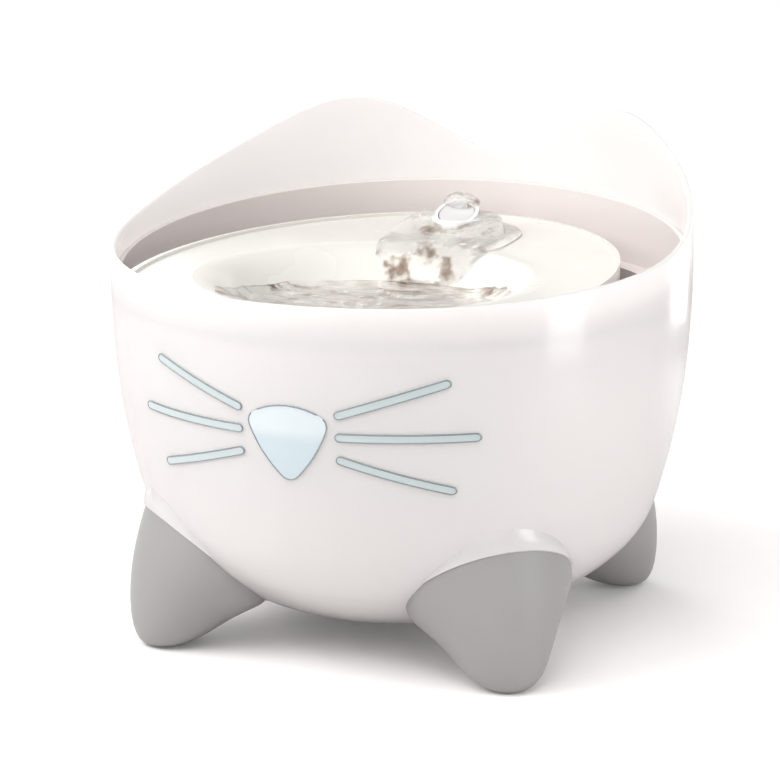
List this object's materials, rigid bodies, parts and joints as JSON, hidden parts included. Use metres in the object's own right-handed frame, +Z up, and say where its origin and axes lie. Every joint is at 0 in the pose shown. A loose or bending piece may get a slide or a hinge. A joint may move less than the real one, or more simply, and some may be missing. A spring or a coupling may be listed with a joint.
{
  "type": "pet water fountain",
  "caption": "Round pet water fountain with an eared rim, a lift-out drinking dish, pump, filter and lit face windows, on horn-shaped feet.",
  "frame": {"origin": "on the floor, under the middle of the bowl", "axes": "+Z up along the bowl's axis, the face and the low side of the rim towards -Y"},
  "size_m": [0.254, 0.254, 0.2161],
  "materials": {
    "shell_white": "gloss moulded",
    "tank_grey": "satin moulded",
    "rubber_grey": "matte",
    "steel": "bright",
    "lens_blue": "translucent",
    "board_green": "solder mask",
    "led_white": "clear resin",
    "parts_black": "matte",
    "foot_grey": "satin moulded",
    "housing_white": "satin moulded",
    "pump_black": "satin moulded",
    "magnet_grey": "sintered",
    "foam_black": "open foam",
    "tube_clear": "clear",
    "dish_cream": "gloss moulded"
  },
  "bodies": {
    "base": {"bowl_shell": "shell_white", "water_tank": "tank_grey", "tank_seal": "rubber_grey", "tank_gland": "rubber_grey", "level_pins": "steel", "nose_lens": "lens_blue", "whisker_guide_left": "lens_blue", "whisker_guide_right": "lens_blue", "light_board": "board_green", "face_leds": "led_white", "foot_front_left": "foot_grey", "foot_front_right": "foot_grey", "foot_rear_left": "foot_grey", "foot_rear_right": "foot_grey", "foot_pads": "rubber_grey", "foot_screws": "steel", "base_cover": "shell_white", "base_gasket": "rubber_grey", "base_screws": "steel", "control_board": "board_green", "board_parts": "parts_black", "power_inlet": "parts_black", "pump_housing": "housing_white", "housing_lid": "housing_white", "pump_body": "pump_black", "pump_cover": "pump_black", "impeller_shaft": "steel", "suction_cups": "rubber_grey", "inlet_strainer": "foam_black", "riser_tube": "tube_clear"},
    "dish": {"drinking_dish": "dish_cream"},
    "nozzle": {"spout_nozzle": "dish_cream", "nozzle_ring": "rubber_grey"},
    "filter": {"filter_frame": "housing_white", "filter_media": "foam_black"},
    "impeller": {"impeller": "housing_white", "rotor_magnet": "magnet_grey"},
    "regulator": {"flow_regulator": "pump_black"}
  },
  "joints": [
    {"name": "dish_lift", "type": "slide", "parent": "base", "child": "dish", "axis": [0, 0, 1], "range_m": [0, 0.09]},
    {"name": "nozzle_pull", "type": "slide", "parent": "dish", "child": "nozzle", "axis": [0, 0, 1], "range_m": [0, 0.035]},
    {"name": "filter_lift", "type": "slide", "parent": "base", "child": "filter", "axis": [0, 0, 1], "range_m": [0, 0.046]},
    {"name": "impeller_spin", "type": "hinge", "parent": "base", "child": "impeller", "pos_m": [0, 0.032, 0.049], "axis": [0, 1, 0], "continuous": true},
    {"name": "regulator_turn", "type": "hinge", "parent": "base", "child": "regulator", "pos_m": [0.02, 0.0225, 0.043], "axis": [1, 0, 0], "range_deg": [0, 90]}
  ]
}
